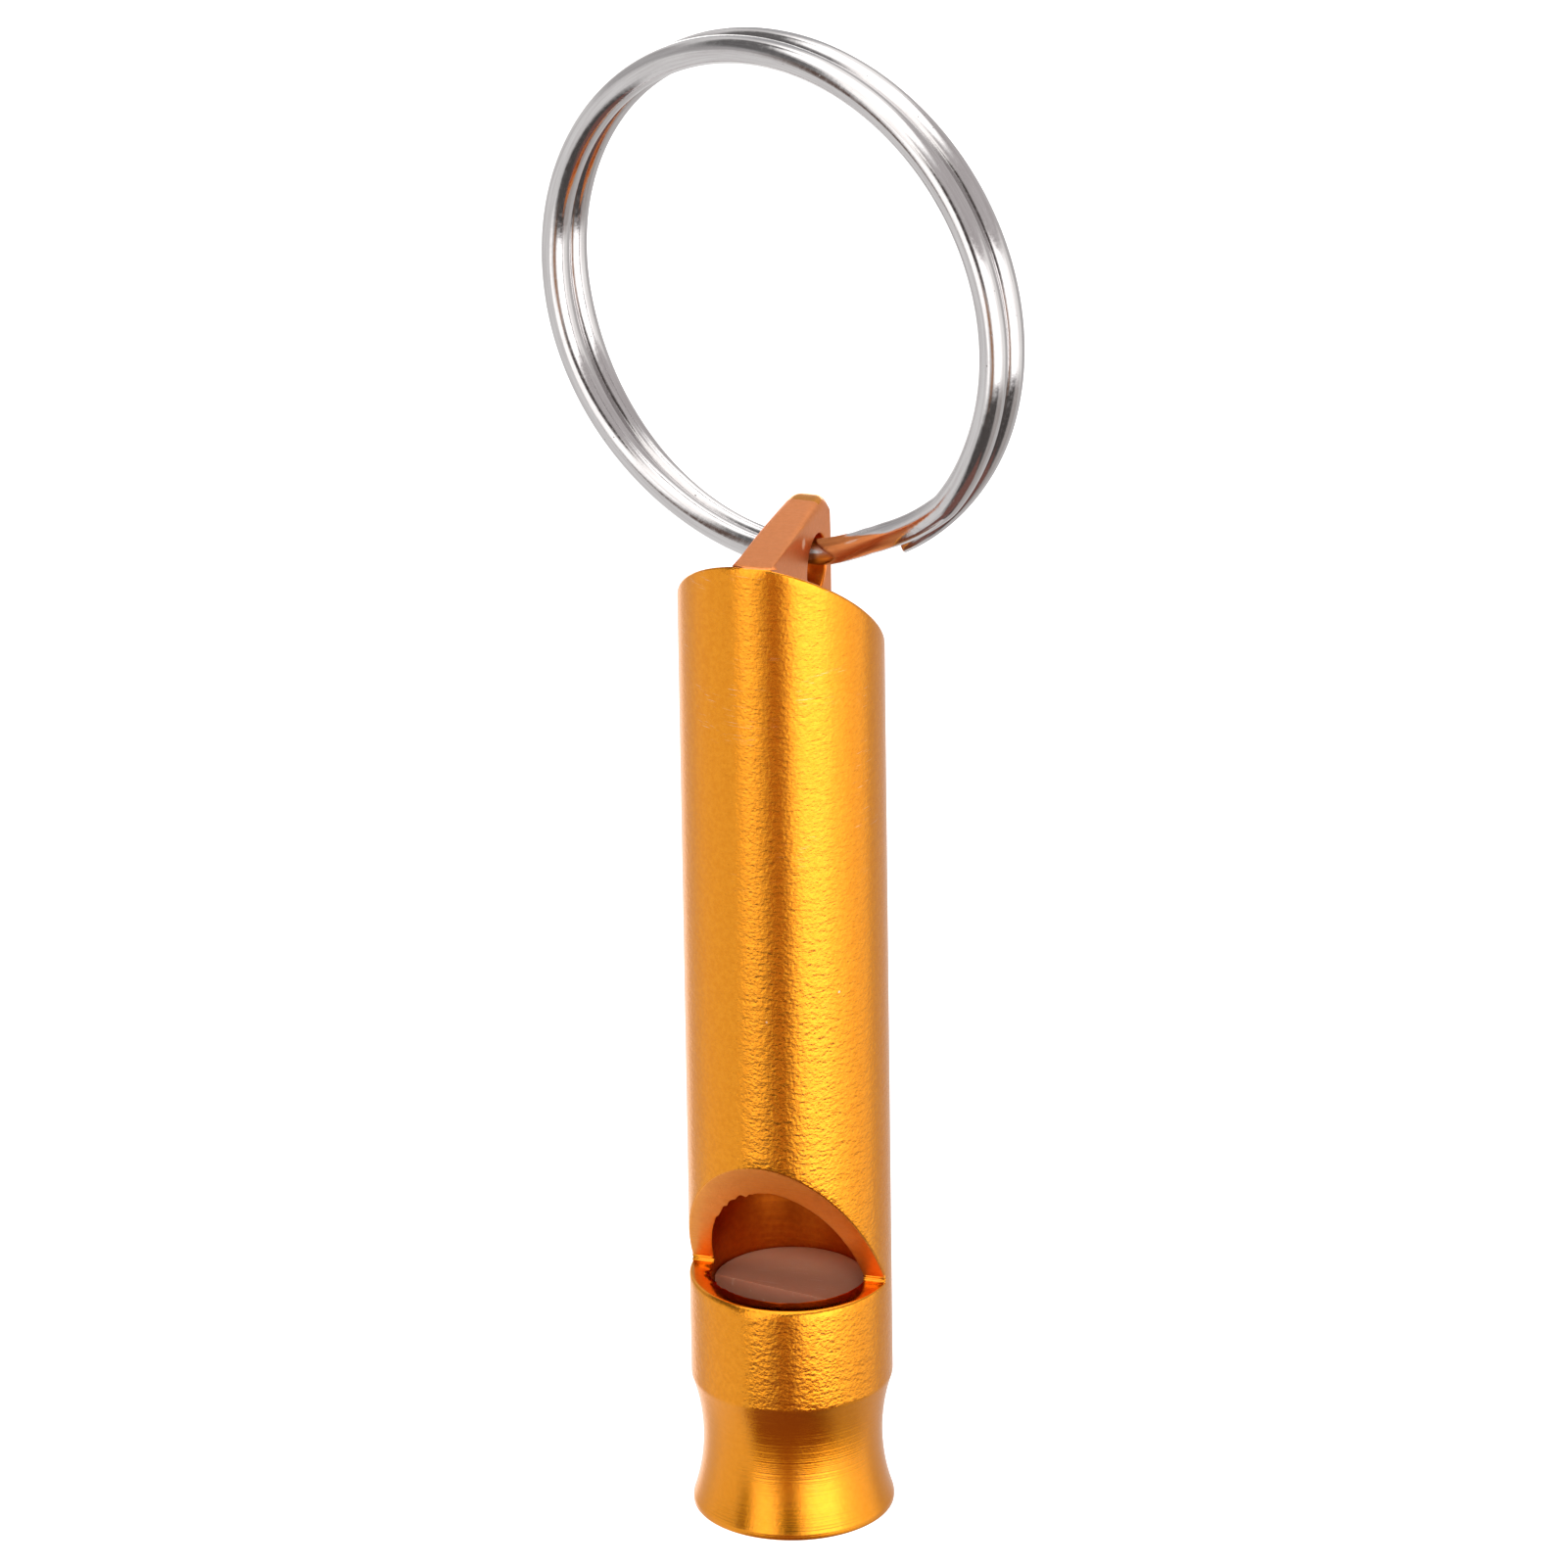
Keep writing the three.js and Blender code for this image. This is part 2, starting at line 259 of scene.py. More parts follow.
def fin_side(rim, back_column, top_column):
    """Shoulder, face and hole's edge on one side of the fin, from the wall's rim there and the
    columns where the face meets the fin's back and top. The face is a fan of lines from its outline
    of slant, back and top to the hole's edge."""
    face_x = rim[0, 0]
    foot = rim * [0, 1, 1] + [face_x, 0, 0]
    outline = np.concatenate([foot, back_column[1:], top_column[-2:0:-1], foot[:1]])
    number = np.arange(len(outline))
    on_foot = (number < len(foot)) | (number == len(outline) - 1)
    fan = np.where(on_foot, np.array(FOOT_FAN)[:, None], np.array(EDGE_FAN)[:, None])
    angle = np.arctan2(outline[:, 2] - HOLE_Z, outline[:, 1] - HOLE_Y)
    hole = np.stack([
        np.full_like(angle, face_x),
        HOLE_Y + HOLE_RADIUS * np.cos(angle),
        HOLE_Z + HOLE_RADIUS * np.sin(angle),
    ], -1)
    return ruled(rim, foot), ruled(outline, hole, fan), hole


# Wear of the fin: its edge's radius at the top of the back, how far its top rolls over to the back,
# and the depths below the top between which most of the radius is lost
FIN_ROUND = 0.52
FIN_ROLL = 1.35
WEAR_FADES = (0.25, 0.95)
WEAR_LOST = 0.82


def tumbled(points):
    """Fin's edges worn round: the radius grows from nothing at the fin's front and foot to its full
    size at the top of the back, and a point nearer than that to two of the fin's faces, its back and
    its top is drawn in onto the ball that fits inside them, an egg that is longer towards the back."""
    x, y, z = np.moveaxis(points, -1, 0)
    back_y = np.sqrt(BARREL_RADIUS ** 2 - x ** 2)
    top_z = BARREL_TOP + FIN_RISE * (y + back_y) / (2 * back_y)
    behind = np.clip((y + BARREL_RADIUS) / (2 * BARREL_RADIUS), 0, 1)
    radius = FIN_ROUND * behind ** 2 * smooth_share(z - slant_height(y), 0, 1)
    radius = radius * (1 - WEAR_LOST * smooth_share(top_z - z, *WEAR_FADES))
    egg = FIN_ROLL / FIN_ROUND
    inside = np.stack([x, (y - back_y) / egg, z - top_z], -1)
    ball = np.stack([
        np.clip(x, FIN_SHIFT - FIN_HALF + radius, FIN_SHIFT + FIN_HALF - radius),
        np.minimum(inside[..., 1], -radius),
        np.minimum(inside[..., 2], -radius),
    ], -1)
    out = inside - ball
    reach = np.linalg.norm(out, axis=-1)
    drawn_in = np.where(reach > 1e-9, 1 - radius / np.maximum(reach, 1e-9), 0)
    return points - out * drawn_in[..., None] * [1, egg, 1]


right_rim = wall_top[middle + FIN_COLUMNS:2 * middle - FIN_COLUMNS + 1]
left_rim = wall_top[FIN_COLUMNS:middle - FIN_COLUMNS + 1][::-1]
right_shoulder, right_face, right_hole = fin_side(right_rim, fin_back[:, 0], fin_top[:, -1])
left_shoulder, left_face, left_hole = fin_side(left_rim, fin_back[:, -1], fin_top[:, 0])
worn_top = tumbled(fin_top)
barrel_patches = {
    "wall": (BLASTED, [lower_wall, *behind_root(sill_outer, notch_top), upper_wall]),
    "fin_back": (BLASTED, [tumbled(fin_back)]),
    "neck": (LATHED, [neck_grid]),
    "lip": (LATHED, [lip_grid]),
    "rim": (LATHED, [rim_grid]),
    "bore": (DRILLED, [lower_bore, *behind_root(sill_inner, bore_notch_top), upper_bore]),
    "point": (DRILLED, [ruled(bore_end, drill_tip)]),
    "sill": (LATHED, [sill_grid]),
    "ramp": (MILLED, [ramp_grid[:-1]]),
    "burr": (MILLED, [ramp_grid[-2:]]),
    "root": (LATHED, root_grids),
    "shoulder": (SAWN, [right_shoulder, left_shoulder]),
    "fin_top": (SAWN, [worn_top[:roll_start + 1]]),
    "fin_roll": (LATHED, [worn_top[roll_start:]]),
    "fin_face": (SAWN, [tumbled(right_face), tumbled(left_face)]),
    "hole": (DRILLED, [ruled(tumbled(right_hole), tumbled(left_hole), (0, 0.5, 1))]),
}


def walked(grid, axis):
    """Distance in millimetres walked along one axis of a grid, on the average of its lines."""
    steps = np.linalg.norm(np.diff(grid, axis=axis), axis=2).mean(1 - axis)
    return np.concatenate([[0], np.cumsum(steps)])


def welded_mesh(name, patches, origin):
    """Mesh from named grids of points, each with the number of its finish: neighbouring points make
    quads, points that fall together within a hundred-thousandth of a millimetre are one, and quads
    that close up become triangles. A UV map holds the distance walked across and along each grid,
    in millimetres. Returns the mesh and the name of the surface that each face is on."""
    names = list(patches)
    points, quads, walks, surface, finish = [], [], [], [], []
    count = 0
    for number, key in enumerate(names):
        kind, grids = patches[key]
        for grid in grids:
            rows, columns = grid.shape[:2]
            index = np.arange(rows * columns).reshape(rows, columns)
            corners = [index[:-1, :-1], index[1:, :-1], index[1:, 1:], index[:-1, 1:]]
            quad = np.stack(corners, -1).reshape(-1, 4)
            walk = np.stack(np.meshgrid(walked(grid, 1), walked(grid, 0)), -1).reshape(-1, 2)
            points.append(grid.reshape(-1, 3))
            quads.append(quad + count)
            walks.append(walk[quad])
            surface.append(np.full(len(quad), number))
            finish.append(np.full(len(quad), kind))
            count += rows * columns
    points = np.concatenate(points)
    walks = np.concatenate(walks)
    rounded = np.round(points, 5) + 0.0
    _, first, joined = np.unique(rounded, axis=0, return_index=True, return_inverse=True)
    quads = joined.reshape(-1)[np.concatenate(quads)]
    repeated = quads == np.roll(quads, -1, axis=1)
    whole = np.flatnonzero(repeated.sum(1) == 0)
    thin = np.flatnonzero(repeated.sum(1) == 1)
    kept = (np.argmax(repeated[thin], 1)[:, None] + np.array([1, 2, 3])) % 4
    triangles = np.take_along_axis(quads[thin], kept, 1)
    triangle_walks = np.take_along_axis(walks[thin], kept[:, :, None], 1)
    order = np.concatenate([whole, thin])
    mesh = bpy.data.meshes.new(name)
    places = (points[first] + origin) / 1000
    mesh.from_pydata(places.tolist(), [], quads[whole].tolist() + triangles.tolist())
    mesh.polygons.foreach_set("material_index", np.concatenate(finish)[order].astype(np.int32))
    face_walks = np.concatenate([walks[whole].ravel(), triangle_walks.ravel()])
    mesh.uv_layers.new(name="walked").data.foreach_set("uv", face_walks)
    shell = bmesh.new()
    shell.from_mesh(mesh)
    bmesh.ops.recalc_face_normals(shell, faces=shell.faces)
    shell.to_mesh(mesh)
    shell.free()
    mesh.polygons.foreach_set("use_smooth", np.ones(len(mesh.polygons), bool))
    mesh.update()
    return mesh, [names[number] for number in np.concatenate(surface)[order]]


def round_edges(mesh, surface, radii):
    """Bevel weight of each edge, in millimetres: the radius set for the pair of surfaces that meet
    there, and none inside one surface. A radius may be a pair: its size at the barrel's front and
    at its back, with even growth between them."""
    names = sorted(set(surface))
    number = {key: i for i, key in enumerate(names)}
    table = np.zeros((2, len(names), len(names)), np.float32)
    for (one, other), radius in radii.items():
        front_and_back = radius if isinstance(radius, tuple) else (radius, radius)
        table[:, number[one], number[other]] = front_and_back
        table[:, number[other], number[one]] = front_and_back
    surface = np.array([number[key] for key in surface])
    edge_of_corner = np.empty(len(mesh.loops), np.int32)
    mesh.loops.foreach_get("edge_index", edge_of_corner)
    corners = np.empty(len(mesh.polygons), np.int32)
    mesh.polygons.foreach_get("loop_total", corners)
    face_of_corner = np.repeat(np.arange(len(mesh.polygons)), corners)
    by_edge = np.argsort(edge_of_corner, kind="stable")
    pairs = surface[face_of_corner[by_edge]].reshape(-1, 2)
    places = np.empty(3 * len(mesh.vertices))
    mesh.vertices.foreach_get("co", places)
    ends = np.empty(2 * len(mesh.edges), np.int32)
    mesh.edges.foreach_get("vertices", ends)
    middle_y = places.reshape(-1, 3)[ends.reshape(-1, 2), 1].mean(1) * 1000
    behind = (middle_y - mouth_centre[1] + BARREL_RADIUS) / (2 * BARREL_RADIUS)
    at_front, at_back = table[:, pairs[:, 0], pairs[:, 1]]
    radius = np.maximum(at_front + (at_back - at_front) * behind, 0)
    weight = mesh.attributes.new("bevel_weight_edge", "FLOAT", "EDGE")
    weight.data.foreach_set("value", radius.astype(np.float32))


def added(name, data):
    """New object of that name in the scene."""
    made = bpy.data.objects.new(name, data)
    bpy.context.scene.collection.objects.link(made)
    return made


def finished_piece(name, mesh, body):
    """Piece from a finished mesh, riding on a body. Its weighted edges are rounded, a weight of 1
    being a millimetre, and its broad faces keep their own normals beside them."""
    piece = added(name, mesh)
    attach(piece, body)
    bevel = piece.modifiers.new("rounded_edges", "BEVEL")
    bevel.limit_method = "WEIGHT"
    bevel.offset_type = "OFFSET"
    bevel.width = 0.001
    bevel.segments = 4
    bevel.use_clamp_overlap = False
    normals = piece.modifiers.new("broad_face_normals", "WEIGHTED_NORMAL")
    normals.mode = "FACE_AREA"
    normals.weight = 50
    normals.keep_sharp = False
    return piece


barrel_mesh, barrel_surface = welded_mesh("whistle_barrel", barrel_patches, mouth_centre)
round_edges(barrel_mesh, barrel_surface, {
    ("wall", "neck"): 0.08,
    ("neck", "lip"): 0.05,
    ("lip", "rim"): 0.12,
    ("rim", "bore"): 0.15,
    ("wall", "sill"): (0.24, -0.20),
    ("wall", "ramp"): 0.07,
    ("wall", "root"): 0.03,
    ("sill", "bore"): 0.03,
    ("burr", "bore"): 0.02,
    ("root", "bore"): 0.03,
    ("sill", "root"): 0.02,
    ("ramp", "root"): 0.02,
    ("wall", "shoulder"): 0.17,
    ("wall", "fin_top"): 0.17,
    ("fin_top", "fin_face"): (0.07, -0.06),
    ("shoulder", "fin_face"): (0.02, 0.16),
    ("fin_face", "hole"): 0.12,
})
barrel = finished_piece("whistle_barrel", barrel_mesh, "whistle")


def set_socket(tree, socket, value):
    """Gives a node's socket a number or a colour, or links another node's output to it."""
    if isinstance(value, bpy.types.NodeSocket):
        tree.links.new(value, socket)
    else:
        socket.default_value = value


def node(tree, kind, inputs, **settings):
    """New node with its settings, and with its sockets set by name or number."""
    made = tree.nodes.new(kind)
    for key, value in settings.items():
        setattr(made, key, value)
    for key, value in inputs.items():
        set_socket(tree, made.inputs[key], value)
    return made


def combined(tree, operation, *values):
    """Numbers or outputs combined by arithmetic; returns the result's output."""
    return node(tree, "ShaderNodeMath", dict(enumerate(values)), operation=operation).outputs[0]


def eased(tree, value, start, end, low=0.0, high=1.0):
    """Number that eases from low at start to high at end."""
    ends = {"Value": value, "From Min": start, "From Max": end, "To Min": low, "To Max": high}
    return node(tree, "ShaderNodeMapRange", ends, interpolation_type="SMOOTHSTEP").outputs["Result"]


def tinted(tree, share, first, second):
    """Colour between two colours."""
    return node(tree, "ShaderNodeMix", {0: share, 6: first, 7: second}, data_type="RGBA").outputs[2]


def clouds(tree, place, scale, detail=2.0):
    """Even noise, about as many lumps to the millimetre as the scale says."""
    inputs = {"Vector": place, "Scale": scale, "Detail": detail, "Roughness": 0.6}
    return node(tree, "ShaderNodeTexNoise", inputs).outputs["Fac"]


def stretched(tree, place, scales):
    """Place in which a pattern is pressed together or drawn out along each axis."""
    return node(tree, "ShaderNodeVectorMath", {0: place, 1: scales}, operation="MULTIPLY").outputs["Vector"]


def away_from(tree, place, spot):
    """Distance in millimetres from a spot."""
    return node(tree, "ShaderNodeVectorMath", {0: place, 1: spot}, operation="DISTANCE").outputs["Value"]


def tool_lines(tree, distance, scale):
    """Lines of uneven depth across a distance, as a cutter leaves them."""
    inputs = {"W": distance, "Scale": scale, "Detail": 4.0, "Roughness": 0.7}
    return node(tree, "ShaderNodeTexNoise", inputs, noise_dimensions="1D").outputs["Fac"]


def specks(tree, place, scale, size, share):
    """Small round dots: one in each cell of a random net, kept in a share of the cells."""
    net = node(tree, "ShaderNodeTexVoronoi", {"Vector": place, "Scale": scale}).outputs
    chance = node(tree, "ShaderNodeSeparateColor", {"Color": net["Color"]}).outputs["Red"]
    dot = eased(tree, net["Distance"], size, size * 0.6)
    return combined(tree, "MULTIPLY", dot, eased(tree, chance, 1 - share, 1 - share + 0.01))


def plain_material(name):
    """New material; returns it with its node tree and its shader."""
    material = bpy.data.materials.new(name)
    material.use_nodes = True
    return material, material.node_tree, material.node_tree.nodes["Principled BSDF"]


def place_on_piece(tree):
    """Place on the piece, in millimetres."""
    coordinate = tree.nodes.new("ShaderNodeTexCoord").outputs["Object"]
    return node(tree, "ShaderNodeVectorMath", {0: coordinate, "Scale": 1000}, operation="SCALE").outputs[0]


def add_relief(tree, shader, height, depth, strength=1.0):
    """Bumps the shader's surface by a height from 0 to 1 over a depth in millimetres."""
    bump = node(tree, "ShaderNodeBump", {"Strength": strength, "Distance": depth / 1000, "Height": height})
    tree.links.new(bump.outputs["Normal"], shader.inputs["Normal"])


WORN_GOLD = (0.90, 0.62, 0.45, 1)


def anodised(name, relief, depth, rough, deep_gold, clear_gold, edge_tint):
    """Gold anodised aluminium: two close golds in soft clouds, the marks of the tool as a relief of
    some depth in millimetres, duller where it is high, and pale wear where the relief says so."""
    material, tree, shader = plain_material(name)
    place = place_on_piece(tree)
    axes = node(tree, "ShaderNodeSeparateXYZ", {0: place}).outputs
    height, wear, strength = relief(tree, place, axes)
    gold = tinted(tree, eased(tree, clouds(tree, place, 5.0, 3.0), 0.3, 0.7), deep_gold, clear_gold)
    tree.links.new(tinted(tree, wear, gold, WORN_GOLD), shader.inputs["Base Color"])
    polish = eased(tree, height, 0.3, 0.7, rough - 0.04, rough + 0.04)
    tree.links.new(combined(tree, "MULTIPLY_ADD", wear, 0.15, polish), shader.inputs["Roughness"])
    add_relief(tree, shader, height, depth, strength)
    shader.inputs["Metallic"].default_value = 1.0
    shader.inputs["Specular Tint"].default_value = edge_tint
    shader.inputs["Coat Weight"].default_value = 0.18
    shader.inputs["Coat Roughness"].default_value = rough
    return material


# Reliefs of the five finishes. Each returns the height, the pale wear and the strength of the relief.
def blasted(tree, place, axes):
    """Orange-peel of a turned, blasted and tumbled wall: short wrinkles that lie round the rod, with
    pimples and pits between them, stronger towards the window and the neck, and a few hairline
    scratches near the top and rare pale specks."""
    wrinkles = clouds(tree, stretched(tree, place, (1.7, 1.7, 4.0)), 1.0, 2.0)
    pimples = clouds(tree, place, 8.5, 1.5)
    pits = node(tree, "ShaderNodeTexVoronoi", {"Vector": place, "Scale": 6.0}).outputs["Distance"]
    height = combined(tree, "MULTIPLY_ADD", pimples, 0.4, combined(tree, "MULTIPLY", wrinkles, 0.66))
    height = combined(tree, "MULTIPLY_ADD", pits, 0.25, height)
    above_mouth = combined(tree, "SUBTRACT", axes["Z"], float(mouth_centre[2]))
    hairs = clouds(tree, stretched(tree, place, (1.1, 1.1, 38.0)), 1.0, 1.0)
    patches = eased(tree, clouds(tree, place, 0.45, 1.0), 0.54, 0.62)
    scratched = combined(tree, "MULTIPLY", patches, eased(tree, above_mouth, 26.0, 33.0))
    scratches = combined(tree, "MULTIPLY", eased(tree, hairs, 0.66, 0.74), scratched)
    scratches = combined(tree, "MULTIPLY", scratches, 0.6)
    wear = combined(tree, "MAXIMUM", scratches, specks(tree, place, scale=1.2, size=0.08, share=0.07))
    return height, wear, eased(tree, above_mouth, 36.0, 14.0, 0.58, 1.0)


def lathe_turned(tree, place, axes):
    """Fine rings that the lathe's tool left round the neck, the lip and the mouth's rim."""
    along = combined(tree, "ADD", axes["Z"], combined(tree, "MULTIPLY", clouds(tree, place, 0.6), 0.05))
    height = combined(tree, "MULTIPLY_ADD", clouds(tree, place, 7.0), 0.4, tool_lines(tree, along, 9.0))
    return height, specks(tree, place, scale=1.4, size=0.06, share=0.04), 1.0


def cutter_milled(tree, place, axes):
    """Straight lines that the milling cutter left across the window's ramp."""
    across = combined(tree, "SUBTRACT", axes["Z"], axes["Y"])
    across = combined(tree, "MULTIPLY_ADD", clouds(tree, place, 0.7), 0.12, across)
    height = combined(tree, "MULTIPLY_ADD", clouds(tree, place, 9.0), 0.35, tool_lines(tree, across, 8.0))
    return height, specks(tree, place, scale=2.2, size=0.08, share=0.05), 1.0


def drill_bored(tree, place, axes):
    """Shallow rings, a little askew, that the drill left in the bore and the hole."""
    along = combined(tree, "MULTIPLY_ADD", axes["X"], 0.08, axes["Z"])
    height = combined(tree, "MULTIPLY_ADD", clouds(tree, place, 4.0), 0.5, tool_lines(tree, along, 5.0))
    return height, specks(tree, place, scale=2.0, size=0.05, share=0.03), 1.0


RUBBED_SPOT = mouth_centre + [0.87, 0.27, 40.86]


def fin_sawn(tree, place, axes):
    """The ramp's straight lines on the slant and the fin, with a spot beside the hole that the ring
    has rubbed pale."""
    height, wear, strength = cutter_milled(tree, place, axes)
    rubbed = eased(tree, away_from(tree, place, RUBBED_SPOT.tolist()), 0.30, 0.10)
    return height, combined(tree, "MAXIMUM", wear, rubbed), strength


# Finishes in the order of their numbers: relief, its depth, roughness, both golds and grazing tint
for finish in (
    ("blasted_gold", blasted, 0.024, 0.18,
     (0.80, 0.275, 0.0108, 1), (0.868, 0.32, 0.0165, 1), (1, 0.94, 0.88, 1)),
    ("lathed_gold", lathe_turned, 0.010, 0.16,
     (0.82, 0.285, 0.011, 1), (0.845, 0.305, 0.016, 1), (1, 0.94, 0.88, 1)),
    ("milled_gold", cutter_milled, 0.018, 0.34,
     (0.90, 0.335, 0.052, 1), (0.95, 0.37, 0.066, 1), (1, 0.87, 0.70, 1)),
    ("drilled_gold", drill_bored, 0.012, 0.28,
     (0.62, 0.14, 0.004, 1), (0.71, 0.175, 0.008, 1), (0.95, 0.6, 0.4, 1)),
    ("sawn_gold", fin_sawn, 0.010, 0.38,
     (0.76, 0.255, 0.072, 1), (0.81, 0.285, 0.09, 1), (1, 0.87, 0.80, 1)),
):
    barrel_mesh.materials.append(anodised(*finish))
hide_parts("barrel")

# Fipple plug. A turned peg of milky, translucent plastic, pressed into the mouth a little askew;
# the flat along its front leaves the windway that leads the breath to the window's edge.
PLUG_RADIUS = 3.085
PLUG_TOP = 9.6
PLUG_BOTTOM = 0.6
PLUG_FLAT = 1.0
PLUG_TURN = math.radians(-12)
ROUND_COLUMNS = 96
FLAT_COLUMNS = 12
flat_angle = math.acos(PLUG_FLAT / PLUG_RADIUS)
round_part = np.linspace(flat_angle, 2 * math.pi - flat_angle, ROUND_COLUMNS + 1) + PLUG_TURN
round_edge = ring_edge(PLUG_RADIUS, round_part, 0.0)
flat_edge = ruled(round_edge[-1:], round_edge[:1], np.linspace(0, 1, FLAT_COLUMNS + 1))[1:, 0]
plug_edge = np.concatenate([round_edge, flat_edge])
plug_foot = plug_edge + [0, 0, PLUG_BOTTOM]
plug_head = plug_edge + [0, 0, PLUG_TOP]
plug_side = ruled(plug_foot, plug_head)


def closed_end(edge):
    """End that closes an edge: lines from each of its points to their middle, the last point being
    the first again."""
    return ruled(edge, np.broadcast_to(edge[:-1].mean(0), edge.shape))


ONLY_FINISH = 0
plug_patches = {
    "side": (ONLY_FINISH, [plug_side[:, :ROUND_COLUMNS + 1]]),
    "flat": (ONLY_FINISH, [plug_side[:, ROUND_COLUMNS:]]),
    "head": (ONLY_FINISH, [closed_end(plug_head)]),
    "foot": (ONLY_FINISH, [closed_end(plug_foot)]),
}
plug_mesh, plug_surface = welded_mesh("fipple_plug_peg", plug_patches, mouth_centre)
round_edges(plug_mesh, plug_surface, {
    ("side", "head"): 0.10,
    ("side", "foot"): 0.10,
    ("flat", "head"): 0.006,
    ("flat", "foot"): 0.03,
    ("side", "flat"): 0.04,
})
plug = finished_piece("fipple_plug_peg", plug_mesh, "whistle")


def milky_plastic():
    """Milky plastic in soft clouds, its colours darkened and warmed by painted shade and painted gold
    light from the bore, and paler towards the back of the bore by a painted glow, with pale scuffs
    across it and shallow lumps."""
    # Painted shade and gold light: the plastic's milky colours are set darkened and warmed, as the bore's
    # shade and gold light make them look.
    milky_in_painted_shade = (0.34, 0.136, 0.082, 1)
    clouded_in_painted_shade = (0.32, 0.13, 0.077, 1)
    scuffed = (0.55, 0.36, 0.29, 1)
    painted_backlight = (0.98, 0.46, 0.275, 1)
    material, tree, shader = plain_material("milky_plastic")
    place = place_on_piece(tree)
    haze = eased(tree, clouds(tree, place, 0.55, 3.0), 0.35, 0.65)
    scuffs = clouds(tree, stretched(tree, place, (0.8, 16.0, 2.0)), 1.0, 2.0)
    scuffs = eased(tree, scuffs, 0.62, 0.78)
    # Painted light: the plug pales and warms towards the back of the bore, a glow in place of light coming
    # through the plastic.
    set_back = node(tree, "ShaderNodeSeparateXYZ", {0: place}).outputs["Y"]
    painted_backlight_share = eased(tree, set_back, mouth_centre[1], mouth_centre[1] + 2.9)
    plastic = tinted(tree, painted_backlight_share, tinted(tree, haze, clouded_in_painted_shade, milky_in_painted_shade), painted_backlight)
    plastic = tinted(tree, combined(tree, "MULTIPLY", scuffs, 0.35), plastic, scuffed)
    tree.links.new(plastic, shader.inputs["Base Color"])
    tree.links.new(eased(tree, scuffs, 0, 1, 0.42, 0.56), shader.inputs["Roughness"])
    lumps = combined(tree, "MULTIPLY_ADD", scuffs, -0.4, clouds(tree, place, 2.5, 3.0))
    add_relief(tree, shader, lumps, 0.015)
    shader.inputs["Subsurface Weight"].default_value = 0.5
    shader.inputs["Subsurface Radius"].default_value = (1.0, 0.55, 0.4)
    shader.inputs["Subsurface Scale"].default_value = 0.0012
    shader.inputs["Specular IOR Level"].default_value = 0.3
    shader.inputs["IOR"].default_value = 1.49
    return material


plug_mesh.materials.append(milky_plastic())
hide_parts("fipple_plug")

# Split ring. Spring-steel wire wound two turns that touch, polished; towards the crossover, a single
# wire that goes through the fin's hole, it is rolled thinner, and both ends are cropped on a slant.
RING_RADIUS = 10.24
RING_TWIST = math.radians(-17.5)
RING_CENTRE = np.array([-0.107, 0.334, -9.734])
WIRE_RADIAL = 1.11
THIN_RADIAL = 1.07
WIRE_AXIAL = 1.12
THIN_AXIAL = 0.76
TURN_GAP = 0.02
REAR_END = 33.5
FRONT_END = 714.5
CROPPED = 3.0
WIRE_STEPS = 1400
WIRE_COLUMNS = 56
ring_along = np.array([math.cos(RING_TWIST), math.sin(RING_TWIST), 0])
ring_face = np.array([math.sin(RING_TWIST), -math.cos(RING_TWIST), 0])
upright = np.array([0, 0, 1])

# Crossover, in degrees from the ring's lowest point: a slope that sets in within the fin's hole and
# stops short on the right, and a chord inside the ring's circle, its bends eased over three degrees
SLOPE_SETS_IN = (0, 12)
SLOPE_STOPS = (27, 34)
crossing = np.linspace(-4, 56, 601)
slope = smooth_share(crossing, *SLOPE_SETS_IN) * (1 - smooth_share(crossing, *SLOPE_STOPS))
crossed = np.cumsum(slope) / slope.sum()
BENDS = (4, 9, 13, 19, 25, 31, 38, 44, 50.3)
INSIDE = (0, 0.06, 0.177, 0.347, 0.451, 0.428, 0.283, 0.15, 0)
chord = np.convolve(np.interp(crossing, BENDS, INSIDE), np.ones(31) / 31, "same")
THINS = (-78, -10)
THICKENS = (34, 72)


def near_crossover(degrees):
    """1 at the crossover, at the ring's lowest point, and 0 away from it, for the wire's thinning."""
    around_ring = (degrees + 180) % 360 - 180
    return smooth_share(around_ring, *THINS) * (1 - smooth_share(around_ring, *THICKENS))


def wire_centre(degrees):
    """Wire's centre line: a circle seen from the front, angle 0 at its lowest point, that steps
    from the rear turn to the front turn over the crossover, where it runs inside the circle.
    Returns its places and the directions out from the circle's middle."""
    past_first_turn = degrees - 360
    radius = RING_RADIUS - np.interp(past_first_turn, crossing, chord)
    pitch = WIRE_AXIAL + (THIN_AXIAL - WIRE_AXIAL) * near_crossover(degrees) + TURN_GAP
    offset = pitch * (np.interp(past_first_turn, crossing, crossed) - 0.5)
    angle = np.radians(degrees)[..., None]
    outward = np.sin(angle) * ring_along - np.cos(angle) * upright
    return RING_CENTRE + radius[..., None] * outward + offset[..., None] * ring_face, outward


def unit(vectors):
    """Vectors at length 1."""
    return vectors / np.linalg.norm(vectors, axis=-1, keepdims=True)


